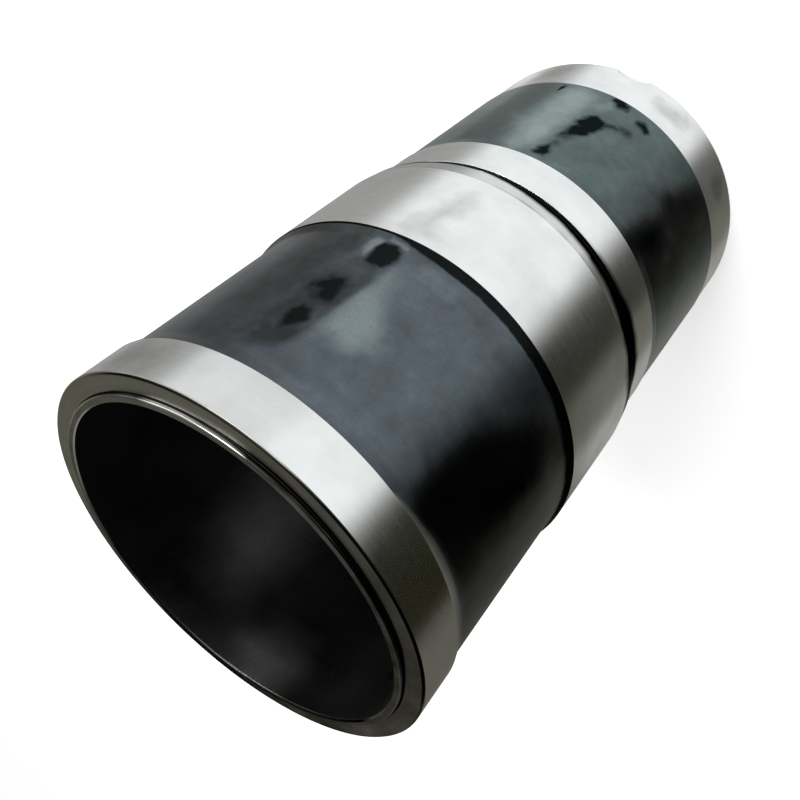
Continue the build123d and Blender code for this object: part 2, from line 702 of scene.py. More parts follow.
def rounded_section(
    corners: tuple[Corner, ...], steps: dict[Zone, float], hold: float
) -> tuple[np.ndarray, np.ndarray]:
    """Samples a closed section whose corners are rounded.

    Each corner becomes a circular arc that meets both runs squarely: the tangent points lie
    edge / tan(half the corner's angle) from the corner, and the centre lies
    edge / sin(half the angle) along the bisector. One more point is held a little way along
    each run, so that smooth shading of the arc doesn't spread over the run. Long runs are
    divided evenly by their zone's step.

    Args:
        corners: The corners in order, anticlockwise in the plane of radius and height.
        steps: Longest step along the runs of each zone, in mm.
        hold: Distance of the held points from the arcs, in mm.

    Returns:
        The points, shape (n, 2) as radius and height in mm, and the zone number of the strip
        that follows each point, shape (n,).
    """
    places = np.array([[corner.radius, corner.height] for corner in corners])
    edges = np.array([corner.edge for corner in corners])
    back = np.roll(places, 1, axis=0) - places
    back /= np.linalg.norm(back, axis=1)[:, None]
    ahead = np.roll(places, -1, axis=0) - places
    lengths = np.linalg.norm(ahead, axis=1)
    ahead /= lengths[:, None]
    half = np.arccos(np.clip((back * ahead).sum(axis=1), -1.0, 1.0)) / 2.0
    reach = edges / np.tan(half)
    bisector = (back + ahead) / np.linalg.norm(back + ahead, axis=1)[:, None]
    centres = places + bisector * (edges / np.sin(half))[:, None]
    first = places + back * reach[:, None] - centres
    last = places + ahead * reach[:, None] - centres
    start = np.arctan2(first[:, 1], first[:, 0])
    sweep = np.arctan2(last[:, 1], last[:, 0]) - start
    sweep = (sweep + math.pi) % (2.0 * math.pi) - math.pi
    runs = lengths - reach - np.roll(reach, -1) - 2.0 * hold
    points: list[np.ndarray] = []
    zones: list[int] = []
    for i, corner in enumerate(corners):
        turns = start[i] + sweep[i] * np.linspace(0.0, 1.0, corner.arcs + 1)
        points.append(centres[i] + edges[i] * np.stack([np.cos(turns), np.sin(turns)], axis=1))
        pieces = max(1, math.ceil(runs[i] / steps[corner.zone]))
        along = reach[i] + hold + runs[i] * np.linspace(0.0, 1.0, pieces + 1)
        points.append(places[i] + ahead[i] * along[:, None])
        zones += [(corner.edge_zone or corner.zone).value] * corner.arcs
        zones += [corner.zone.value] * (pieces + 2)
    return np.concatenate(points), np.array(zones)


def wrapped_mesh(
    name: str, points: np.ndarray, zones: np.ndarray, turns: np.ndarray, wrap: np.ndarray
) -> bpy.types.Mesh:
    """Makes a mesh from a grid that is closed in both directions, as a ring is.

    Point (i, j) of the grid is joined to (i + 1, j) and (i, j + 1), and the last ones to the
    first, so neither seam is open. The quads look out of the wall where i runs anticlockwise,
    seen from above, and j runs up the outer wall.

    Args:
        name: Name of the mesh.
        points: Grid of points in metres, shape (around, along, 3).
        zones: Material slot of each strip along, shape (along,).
        turns: Map coordinates round, as shares of a turn, shape (around,).
        wrap: Map coordinates up the strips, shape (along + 1,), in metres.

    Returns:
        The mesh, smooth, with a UV map named wrap.
    """
    around, along = points.shape[:2]
    i, j = np.meshgrid(np.arange(around), np.arange(along), indexing="ij")
    next_i, next_j = (i + 1) % around, (j + 1) % along
    quads = np.stack(
        [i * along + j, next_i * along + j, next_i * along + next_j, i * along + next_j], axis=-1
    ).reshape(-1, 4)
    mesh = bpy.data.meshes.new(name)
    mesh.vertices.add(around * along)
    mesh.vertices.foreach_set("co", points.reshape(-1).astype(np.float32))
    mesh.loops.add(quads.size)
    mesh.loops.foreach_set("vertex_index", quads.reshape(-1).astype(np.int32))
    mesh.polygons.add(len(quads))
    mesh.polygons.foreach_set("loop_start", (np.arange(len(quads)) * 4).astype(np.int32))
    mesh.polygons.foreach_set("loop_total", np.full(len(quads), 4, np.int32))
    mesh.polygons.foreach_set("material_index", np.tile(zones, around).astype(np.int32))
    mesh.polygons.foreach_set("use_smooth", np.ones(len(quads), bool))
    mesh.update(calc_edges=True)
    layer = mesh.uv_layers.new(name="wrap")
    closed = np.append(turns, turns[0] + 1.0)
    turn = np.stack([closed[i], closed[i + 1], closed[i + 1], closed[i]], axis=-1).reshape(-1)
    climb = np.stack([wrap[j], wrap[j], wrap[j + 1], wrap[j + 1]], axis=-1).reshape(-1)
    layer.data.foreach_set("uv", np.stack([turn, climb], axis=-1).reshape(-1).astype(np.float32))
    mesh.validate()
    return mesh


@dataclass(frozen=True)
class RimShade:
    """Painted shade on the fire face, the fire ring and their corners: darkening set by angle round
    the rim, a painted shadow along the ring's foot, and dark painted lines on the rim's outer
    corner and the mouth's chamfer.

    Each table gives an amount by the angle round the rim: face on the fire face, side on the
    ring's side and rounding, and foot the width of the painted shadow line along the ring's
    foot. The ring's top takes the first value of crown plus the second times the face's, which
    counts as crown_least at least. The top begins crown_share, and the side side_share, of the
    ring's edge radius inside its radius. A window is its centre, its ends either way and its
    soft width. Angles are in degrees, widths and fades in mm.
    """

    face: Table = (
        (-180, 0.72), (-165, 0.45), (-150, 0.42), (-135, 0.38), (-75, 0.43), (-45, 0.41),
        (-30, 0.34), (-15, 0.27), (10, 0.1), (90, 0.08), (120, 0.27), (150, 0.5), (165, 0.78),
    )  # fmt: skip
    crown: Span = (0.29, 0.6)
    crown_least: float = 0.1
    crown_share: float = 0.95
    side: Table = (
        (-180, 0.5), (-95, 0.4), (-78, 0.45), (-60, 0.6), (-9, 0.74), (-2, 0.05),
        (18, 0.0), (26, 0.6), (36, 0.5), (55, 0.15), (110, 0.1),
    )  # fmt: skip
    side_share: float = 0.9
    side_base: float = 0.05
    foot: Table = (
        (-180, 0.0), (-90, 0.0), (-76, 0.25), (-67, 0.85), (-15, 0.95), (0, 0.4),
        (30, 0.18), (60, 0.03), (100, 0.0),
    )  # fmt: skip
    foot_fade: float = 0.4
    foot_full: float = 0.3
    foot_height: float = 0.32
    corner_width: float = 0.6
    corner_fade: float = 0.5
    corner_depth: float = 0.4
    corner_depth_fade: float = 0.25
    corner_least: float = 0.15
    corner_window: Window = (-26.0, -46.0, 48.0, 30.0)
    lip: float = 0.8
    lip_width: float = 0.15
    lip_window: Window = (180.0, -50.0, 60.0, 18.0)
    slack: float = 0.01

    def amount(
        self, liner: "Liner", turn: np.ndarray, height: np.ndarray, radius: np.ndarray
    ) -> np.ndarray:
        """Works out the painted shade at points of the liner.

        The line at the ring's foot is as wide as its table says, fades over foot_fade, is full
        where it is at least foot_full wide, and is no higher than foot_height. The rim's outer
        corner is blackest within corner_window and has corner_least of that elsewhere. It
        starts corner_width inside the chamfer and is full corner_fade further out, and it
        starts corner_depth under the face and is full corner_depth_fade higher. The mouth's
        chamfer and lip_width beyond it are dark within lip_window. The greatest of all counts.

        Args:
            liner: The liner, for its radii and heights.
            turn: Angles of the points in degrees.
            height: Heights of the points in mm.
            radius: Radii of the points in mm.

        Returns:
            Painted shade between zero and one, and zero below the rim.
        """
        face, side, foot = (read_table(t, turn) for t in (self.face, self.side, self.foot))
        beyond = radius - liner.ring_radius
        over = height - liner.fire_face
        on_top = beyond < -liner.ring_edge * self.crown_share
        on_top &= height > liner.ring_top - self.slack
        top = self.crown[0] + self.crown[1] * np.maximum(face, self.crown_least)
        line = np.clip((foot + self.foot_fade - beyond) / self.foot_fade, 0.0, 1.0)
        line = line * np.clip(foot / self.foot_full, 0.0, 1.0)
        line = line * (beyond > -self.slack) * (over < self.foot_height)
        inside = radius - liner.press_band + liner.top_chamfer + self.corner_width
        corner = np.clip(inside / self.corner_fade, 0.0, 1.0)
        corner = corner * np.clip((over + self.corner_depth) / self.corner_depth_fade, 0.0, 1.0)
        window = self.within(self.corner_window, turn)
        corner = corner * (self.corner_least + (1.0 - self.corner_least) * window)
        side = side * (beyond > -liner.ring_edge * self.side_share) * (over > self.side_base)
        lip = self.lip * (radius < liner.bore + liner.mouth_chamfer + self.lip_width)
        lip = lip * self.within(self.lip_window, turn)
        # Painted shade: the darkest of the face's shade by angle, the shadow line at the ring's
        # foot, the corner, the ring's side and the mouth.
        painted_shade = np.max([np.where(on_top, top, face), line, corner, side, lip], axis=0)
        return painted_shade * (over > -liner.top_chamfer - self.slack)

    def within(self, window: Window, turn: np.ndarray) -> np.ndarray:
        """Weighs angles by one of the windows."""
        centre, low, high, soft = window
        return smooth_window(turn_between(turn, centre), low, high, soft)


@dataclass
class Liner:
    """The liner itself: one turned piece with a notch in its lower end.

    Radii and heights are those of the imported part, in mm.
    """

    bore: float = 57.0
    press_band: float = 65.475
    upper_jacket: float = 64.1
    stop_band: float = 65.4
    seat: float = 64.6
    undercut: float = 62.2
    pilot: float = 63.0
    lower_jacket: float = 62.6
    end_band: float = 62.2
    end_chamfer: Span = (0.5, 0.6)
    bore_lead: Span = (1.2, 3.0)
    end_band_top: Span = (23.7, 24.3)
    pilot_foot: Span = (82.0, 86.2)
    undercut_span: Span = (103.1, 107.1)
    seat_top: float = 114.1
    shoulder_span: Span = (154.5, 157.6)
    press_taper_span: Span = (216.7, 221.5)
    fire_face: float = 237.3
    top_chamfer: float = 0.45
    ring_radius: float = 59.5
    ring_top: float = 238.6
    ring_edge: float = 0.6
    mouth_chamfer: float = 0.4
    notch_radius: float = 8.0
    notch_height: float = 4.9
    notch_fade: float = 12.0
    turn_marks: tuple[float, ...] = (-62.0, -20.0, -8.0, 8.0, 27.0, 298.0)
    turn_steps: tuple[float, ...] = (1.2, 0.5, 0.25, 0.5, 1.8)
    hold: float = 0.06
    sharp: float = 50.0
    bore_skin: float = 0.3
    # Marks. The staining marks hold real staining and a painted shade band; the film and wear marks
    # hold real film and wear and stripes of painted light and painted shade; the shade marks and
    # the rim are painted shade; the bore's marks are painted glow.
    stains_and_shade: tuple[Mark, ...] = ()
    films_and_light: tuple[Mark, ...] = ()
    tarnishes: tuple[Mark, ...] = ()
    shade_marks: tuple[Mark, ...] = ()
    wears_and_light: tuple[Mark, ...] = ()
    bore_glow: tuple[Mark, ...] = ()
    plain_film: float = 0.42
    bore_film: float = 0.45
    rim: RimShade = RimShade()

    def corners(self) -> tuple[Corner, ...]:
        """Lists the section's corners.

        Returns:
            The corners, up the outer wall, over the top, down the bore and back.
        """
        ground, dark = Zone.GROUND, Zone.SHOULDER
        top = self.fire_face
        return (
            Corner(self.end_band - self.end_chamfer[0], 0.0, Zone.TURNED_END),
            Corner(self.end_band, self.end_chamfer[1], ground),
            Corner(self.end_band, self.end_band_top[0], Zone.LOWER_JACKET, 0.1, 1, ground),
            Corner(self.lower_jacket, self.end_band_top[1], Zone.LOWER_JACKET, 0.1, 1),
            Corner(self.lower_jacket, self.pilot_foot[0], Zone.LOWER_JACKET, 0.6, 1),
            Corner(self.pilot, self.pilot_foot[1], ground, 0.3, 1),
            Corner(self.pilot, self.undercut_span[0], Zone.UNDERCUT, 0.12, 2, ground),
            Corner(self.undercut, self.undercut_span[0], Zone.UNDERCUT, 0.5, 3),
            Corner(self.undercut, self.undercut_span[1], Zone.UNDERCUT, 1.0, 4),
            Corner(self.seat, self.undercut_span[1], Zone.SEAT_TAPER, 0.4, 3, Zone.UNDERCUT),
            Corner(self.stop_band, self.seat_top, ground, 0.5, 2),
            Corner(self.stop_band, self.shoulder_span[0], Zone.UPPER_JACKET, 2.4, 4, dark),
            Corner(self.upper_jacket, self.shoulder_span[1], Zone.UPPER_JACKET, 5.0, 4),
            Corner(self.upper_jacket, self.press_taper_span[0], Zone.UPPER_JACKET, 12.0, 6),
            Corner(self.press_band, self.press_taper_span[1], ground, 0.3, 2, ground),
            Corner(self.press_band, top - self.top_chamfer, Zone.FIRE_FACE, 0.1, 2),
            Corner(self.press_band - self.top_chamfer, top, Zone.FIRE_FACE, 0.1, 2),
            Corner(self.ring_radius, top, Zone.RING_TOP, 0.3, 3, dark),
            Corner(self.ring_radius, self.ring_top, Zone.RING_TOP, self.ring_edge, 5),
            Corner(self.bore + self.mouth_chamfer, self.ring_top, Zone.RING_TOP, 0.08, 1),
            Corner(self.bore, self.ring_top - self.mouth_chamfer, Zone.BORE, 0.08, 1),
            Corner(self.bore, self.bore_lead[1], Zone.TURNED_END, 0.3, 1),
            Corner(self.bore + self.bore_lead[0], 0.0, Zone.TURNED_END, 0.1, 1),
        )

    def turns(self) -> np.ndarray:
        """Lists the angles of the sections, closest where the notch and the seen marks lie."""
        spans = zip(self.turn_marks[:-1], self.turn_marks[1:], self.turn_steps)
        return np.concatenate([np.arange(start, end, step) for start, end, step in spans])

    def notched(self, points: np.ndarray) -> np.ndarray:
        """Presses the notch into the lower end on the +X side.

        The notch is a cylinder of notch_radius lying along X, whose top stands notch_height
        above the end. Its height over the end is h(y) = notch_height - notch_radius +
        root(notch_radius^2 - y^2) where that is above zero. A point at height z below
        notch_fade moves up to h + z * (notch_fade - h) / notch_fade, so the end's chamfers
        follow the notch's edge.

        Args:
            points: Grid of points in mm, shape (around, along, 3).

        Returns:
            The moved points.
        """
        span = np.sqrt(np.maximum(self.notch_radius**2 - points[..., 1] ** 2, 0.0))
        lift = np.maximum(self.notch_height - self.notch_radius + span, 0.0)
        lift = np.where(points[..., 0] > 0.0, lift, 0.0)
        height = points[..., 2]
        raised = lift + height * (self.notch_fade - lift) / self.notch_fade
        moved = points.copy()
        moved[..., 2] = np.where(height < self.notch_fade, raised, height)
        return moved

    def fields(self, angles: np.ndarray, section: np.ndarray) -> dict[Field, np.ndarray]:
        """Works out the surface fields on the grid.

        The staining, tarnish, painted shade and wear of a point are the deepest reach of any of
        their marks.
        The film starts at its plain level and is drawn to each mark's level, in order, by the
        smooth cubic of the mark's reach over its core; some of these marks are stripes of painted
        light and painted shade. The bore has marks of its own, which are painted glow.

        Args:
            angles: Angles round, in degrees, shape (around,).
            section: Points of the section in mm, shape (along, 2).

        Returns:
            Each field as an array of shape (around, along).
        """
        turn, height = np.meshgrid(angles, section[:, 1], indexing="ij")
        radius = np.broadcast_to(section[:, 0], turn.shape)
        outer = radius > self.bore + self.bore_skin
        result = {}
        for which, marks in (
            (Field.STAIN, self.stains_and_shade),
            (Field.TARNISH, self.tarnishes),
            (Field.SOOT, self.shade_marks),
            (Field.WORN, self.wears_and_light),
        ):
            reaches = [mark.level * mark.reach(turn, height, radius) for mark in marks]
            result[which] = np.where(outer, np.max(reaches, axis=0), 0.0)
        # The rim's painted shade joins the painted shade of the marks.
        rim = self.rim.amount(self, turn, height, radius)
        result[Field.SOOT] = np.maximum(result[Field.SOOT], rim)
        films_and_light = []
        for plain, marks in ((self.plain_film, self.films_and_light), (self.bore_film, self.bore_glow)):
            film = np.full(turn.shape, plain)
            for mark in marks:
                weight = np.clip(mark.reach(turn, height, radius) / mark.core, 0.0, 1.0)
                film += (mark.level - film) * weight * weight * (3.0 - 2.0 * weight)
            films_and_light.append(film)
        result[Field.FILM] = np.where(outer, *films_and_light)
        return result

    def build(self, finishes: dict[Zone, Finish]) -> bpy.types.Object:
        """Makes the turned surface and dresses it.

        A point of the section at radius r and height z, at angle t round, is at
        (r cos t, r sin t, z), before the notch is pressed in.

        Args:
            finishes: The finish of each zone.

        Returns:
            The liner's object, riding on the root body in the node's place.
        """
        section, zones = rounded_section(self.corners(), LONGEST_STEPS, self.hold)
        angles = self.turns()
        turn = np.radians(angles)[:, None]
        height = np.broadcast_to(section[:, 1], (len(angles), len(section)))
        across = [section[:, 0] * np.cos(turn), section[:, 0] * np.sin(turn)]
        points = self.notched(np.stack([*across, height], axis=-1))
        closed = np.concatenate([section, section[:1]])
        climb = np.cumsum(np.linalg.norm(np.diff(closed, axis=0), axis=1))
        climb = np.concatenate([[0.0], climb])
        mesh = wrapped_mesh(
            "cylinder_liner_turned", points * MM, zones, angles / 360.0, climb * MM
        )
        for which, values in self.fields(angles, section).items():
            layer = mesh.attributes.new(which.value, "FLOAT", "POINT")
            layer.data.foreach_set("value", values.reshape(-1).astype(np.float32))
        for zone in Zone:
            mesh.materials.append(finishes[zone].make())
        mesh.set_sharp_from_angle(angle=math.radians(self.sharp))
        piece = place_object("liner_turned", mesh)
        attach(piece, "root")
        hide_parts("cylinder_liner")
        return piece


@dataclass(frozen=True)
class Panel:
    """A panel of the light tent: the angles it spans round and up, its light and its soft edges."""

    centre: float
    half: float
    light: Colour
    soft: float = 8.0
    low: float = -100.0
    high: float = 100.0
    soft_up: float = 10.0


@dataclass
class LightTent:
    """A round tent of pale and dark panels that only the liner's own gloss sees."""

    panels: tuple[Panel, ...]
    ground: Colour = (0.34, 0.34, 0.33)
    radius: float = 3.0
    pole: float = 89.5
    columns: int = 240
    rows: int = 120

    def light(self, azimuth: np.ndarray, elevation: np.ndarray) -> np.ndarray:
        """Works out the tent's light in each direction.

        The light starts as the plain ground and is drawn to each panel's light, in order, by
        the product of the panel's two windows.

        Args:
            azimuth: Angles round in degrees.
            elevation: Angles up in degrees.

        Returns:
            Colours, with one more axis than azimuth.
        """
        colour = np.broadcast_to(np.array(self.ground), (*azimuth.shape, 3)).copy()
        for panel in self.panels:
            off = np.abs(turn_between(azimuth, panel.centre))
            weight = smooth_window(off, 0.0, panel.half, panel.soft)
            weight = weight * smooth_window(elevation, panel.low, panel.high, panel.soft_up)
            colour += (np.array(panel.light) - colour) * weight[..., None]
        return colour

    def build(self) -> bpy.types.Object:
        """Makes the tent as a sphere seen from inside.

        A point at angle a round and e up is radius * (cos e cos a, cos e sin a, sin e).

        Returns:
            The tent's object.
        """
        azimuth = np.linspace(-180.0, 180.0, self.columns, endpoint=False)
        elevation = np.linspace(-self.pole, self.pole, self.rows)
        turn, rise = np.meshgrid(azimuth, elevation, indexing="ij")
        a, e = np.radians(turn), np.radians(rise)
        way = np.stack([np.cos(e) * np.cos(a), np.cos(e) * np.sin(a), np.sin(e)], axis=-1)
        i, j = np.meshgrid(np.arange(self.columns), np.arange(self.rows - 1), indexing="ij")
        here = i * self.rows + j
        beside = (i + 1) % self.columns * self.rows + j
        quads = np.stack([here, here + 1, beside + 1, beside], axis=-1).reshape(-1, 4)
        mesh = bpy.data.meshes.new("light_tent")
        mesh.from_pydata(self.radius * way.reshape(-1, 3), [], quads.tolist())
        glow = mesh.attributes.new("glow", "FLOAT_COLOR", "POINT")
        colours = np.concatenate([self.light(turn, rise), np.ones((*turn.shape, 1))], axis=-1)
        glow.data.foreach_set("color", colours.reshape(-1).astype(np.float32))
        material, graph = empty_material("tent_cloth")
        seen = graph.add("ShaderNodeAttribute", attribute_name="glow").outputs["Color"]
        cloth = graph.add("ShaderNodeEmission", {"Color": seen, "Strength": 1.0})
        graph.add("ShaderNodeOutputMaterial", {"Surface": cloth.outputs[0]})
        material.cycles.emission_sampling = "NONE"
        mesh.materials.append(material)
        tent = place_object("light_tent", mesh)
        tent.visible_camera = False
        tent.visible_diffuse = False
        tent.visible_shadow = False
        return tent


@dataclass
class Studio:
    """Pale floor, white surroundings, one soft lamp and the tent."""

    tent: LightTent
    floor_radius: float = 8.0
    floor_sides: int = 96
    floor_grey: float = 0.9
    floor_glow: float = 0.42
    lamp_size: float = 0.9
    lamp_power: float = 13.0
    lamp_angles: Span = (30.0, 58.0)
    lamp_distance: float = 1.5
    lamp_aim: float = 0.12
    room_light: float = 0.62

    def shown(self, graph: Graph) -> Any:
        """Tells the rays that should see a bright background from those that light the liner.

        Args:
            graph: The graph that gets the nodes.

        Returns:
            A socket with one for rays from the camera and for mirrored and passing rays, else
            zero.
        """
        path = graph.add("ShaderNodeLightPath").outputs
        either = graph.plus(path["Is Camera Ray"], path["Is Glossy Ray"])
        return graph.maths("ADD", either, path["Is Transmission Ray"], clamp=True)

    def build_floor(self) -> bpy.types.Object:
        """Lays the floor.

        Returns:
            A flat disc under the liner.
        """
        turn = np.linspace(0.0, 2.0 * math.pi, self.floor_sides, endpoint=False)
        rim = np.stack([np.cos(turn), np.sin(turn), np.zeros(self.floor_sides)], axis=1)
        mesh = bpy.data.meshes.new("floor")
        mesh.from_pydata(self.floor_radius * rim, [], [list(range(self.floor_sides))])
        material, graph = empty_material("pale_floor")
        matt = graph.add("ShaderNodeBsdfDiffuse", {"Color": (*[self.floor_grey] * 3, 1.0)})
        strength = graph.times(self.shown(graph), self.floor_glow)
        glow = graph.add("ShaderNodeEmission", {"Color": (*WHITE, 1.0), "Strength": strength})
        both = graph.add("ShaderNodeAddShader", {0: matt.outputs[0], 1: glow.outputs[0]})
        graph.add("ShaderNodeOutputMaterial", {"Surface": both.outputs[0]})
        mesh.materials.append(material)
        floor = place_object("floor", mesh)
        floor.visible_glossy = False
        return floor

    def build_world(self) -> None:
        """Makes the surroundings white to look at, and of plain grey light on the object."""
        world = bpy.data.worlds.new("studio")
        world.use_nodes = True
        graph = Graph(world.node_tree)
        strength = graph.span(self.shown(graph), 0.0, 1.0, self.room_light, 1.0)
        back = graph.add("ShaderNodeBackground", {"Color": (*WHITE, 1.0), "Strength": strength})
        graph.add("ShaderNodeOutputWorld", {"Surface": back.outputs[0]})
        bpy.context.scene.world = world

    def build_lamp(self) -> bpy.types.Object:
        """Hangs the soft lamp on the camera's side of the liner.

        Returns:
            The lamp's object, a disc that looks at the liner's axis at lamp_aim.
        """
        azimuth, elevation = np.radians(self.lamp_angles)
        flat = math.cos(elevation)
        way = Vector((flat * math.cos(azimuth), flat * math.sin(azimuth), math.sin(elevation)))
        data = bpy.data.lights.new("soft_lamp", "AREA")
        data.shape = "DISK"
        data.size = self.lamp_size
        data.energy = self.lamp_power
        lamp = place_object("soft_lamp", data)
        lamp.location = Vector((0.0, 0.0, self.lamp_aim)) + way * self.lamp_distance
        lamp.rotation_euler = (-way).to_track_quat("-Z", "Y").to_euler()
        return lamp

    def build(self) -> None:
        """Builds the whole studio."""
        self.build_floor()
        self.build_world()
        self.build_lamp()
        self.tent.build()


@dataclass
class PhotoCamera:
    """The photograph's camera: its place in mm, its axes in the liner's frame, and its lens."""

    place: tuple[float, float, float] = (210.72, -85.56, 326.33)
    right: tuple[float, float, float] = (0.13269, -0.81881, -0.55851)
    up: tuple[float, float, float] = (0.66226, 0.49249, -0.56468)
    lens: float = 38.102
    sensor: float = 36.0
    clip: Span = (0.01, 30.0)

    def build(self) -> bpy.types.Object:
        """Makes the camera and takes it for the scene.

        The up axis is squared to the right one, and the camera looks along minus their cross
        product.

        Returns:
            The camera's object.
        """
        right = Vector(self.right).normalized()
        up = (Vector(self.up) - right * right.dot(Vector(self.up))).normalized()
        turn = Matrix((right, up, right.cross(up))).transposed().to_4x4()
        data = bpy.data.cameras.new("photo_camera")
        data.lens = self.lens
        data.sensor_width = self.sensor
        data.clip_start, data.clip_end = self.clip
        camera = place_object("photo_camera", data)
        camera.matrix_world = Matrix.Translation(Vector(self.place) * MM) @ turn
        bpy.context.scene.camera = camera
        return camera


LONGEST_STEPS: dict[Zone, float] = {zone: 4.0 for zone in Zone} | {
    Zone.UPPER_JACKET: 1.2,
    Zone.LOWER_JACKET: 1.2,
    Zone.BORE: 9.0,
    Zone.FIRE_FACE: 0.3,
    Zone.RING_TOP: 0.4,
    Zone.SEAT_TAPER: 0.5,
}

FINISHES: dict[Zone, Finish] = {
    Zone.GROUND: GroundSteel("ground_steel", (0.84, 0.85, 0.84)),
    Zone.UPPER_JACKET: Phosphate("upper_jacket_phosphate", (0.113, 0.134, 0.153)),
    Zone.LOWER_JACKET: Phosphate(
        "lower_jacket_phosphate", (0.104, 0.147, 0.142), (0.033, 0.036, 0.036), (0.29, 0.36, 0.355)
    ),
    # Painted shade: the shoulder's rounding, the ring's foot and the undercut groove are coloured
    # nearly black.
    Zone.SHOULDER: PaintedShadeFinish("painted_shade_step", (0.012, 0.012, 0.013)),
    Zone.UNDERCUT: PaintedShadeFinish("undercut_painted_shade", (0.015, 0.015, 0.015)),
    Zone.SEAT_TAPER: GroundSteel("seat_taper_steel", (0.68, 0.69, 0.68)),
    Zone.FIRE_FACE: TurnedSteel("fire_face_steel", (0.35, 0.34, 0.31)),
    Zone.RING_TOP: TurnedSteel("fire_ring_steel", (0.62, 0.62, 0.6), 0.2),
    Zone.BORE: HonedBore("honed_bore", (0.36, 0.37, 0.36)),
    Zone.TURNED_END: TurnedSteel("turned_end_steel", (0.6, 0.6, 0.58)),
}

STAINS_AND_SHADE: tuple[Mark, ...] = (
    Blot(((8.5, 169), (10, 165), (10, 158), (5.5, 158), (3, 161), (2.5, 166), (4, 169)), 1, 1.3),
    Blot(((14.5, 187), (14, 182.5), (8.5, 177.5), (5.5, 181), (5, 191), (9.5, 189)), 0.9, 3.2),
    Blot(((9, 205.5), (11.5, 197), (10, 194), (7.5, 194.5), (6, 198)), 1, 1.6),
    # Painted shade: a black band along the foot of the shoulder, from 8° round to -151°.
    Blot(
        ((8, 155), (-4, 157), (-14, 157.3), (-100, 157.3), (-150, 155), (-151, 153.8), (7, 153.9)),
        soft=0.5,
    ),
    Blot(((3, 81.5), (2.5, 77), (0.5, 73), (-2.5, 78), (-1.5, 82.5)), 0.9, 2.2),
    Smear(((1, 74.4, 2.4), (-0.4, 67, 2.2), (-1.4, 64, 2.4)), 0.5),
    Blot(
        ((0.5, 64), (1, 55), (0, 47), (-3, 42.5), (-7, 44.5), (-7.5, 50), (-5.5, 59), (-2, 63.5)),
        soft=1.9,
    ),
    Smear(((-7.6, 46, 1.9), (-12, 42.2, 2.2), (-14.6, 42.6, 1.7)), 0.6),
    Smear(((-14.4, 31.9, 1.2), (-16, 32.3, 1.9), (-18, 32.7, 1.4)), 0.9),
    Smear(((-3, 26.3, 1.2), (-5.5, 26.9, 2.2), (-8, 27.2, 1.6)), 0.9),
    Smear(((16.1, 28, 0.9), (16.4, 31.9, 0.5)), 0.8),
    Smear(((112, 176, 3.6), (116, 184, 5), (121, 186, 3.4)), 0.8),
    Smear(((96, 200, 2.8), (99, 203, 3.6)), 0.75),
    Smear(((178, 173, 3.2), (184, 178, 4.6), (185, 186, 2.6)), 0.8),
    Smear(((236, 192, 4.2), (241, 196, 3.2)), 0.75),
    Smear(((151, 60, 2.8), (147, 53, 4.6), (149, 47, 3.4)), 0.8),
    Smear(((203, 37, 3.4), (209, 40, 4.4), (212, 45, 2.6)), 0.75),
    Smear(((88, 70, 3.2), (92, 67, 4)), 0.75),
    Smear(((262, 70, 3), (266, 63, 4.2)), 0.8),
)

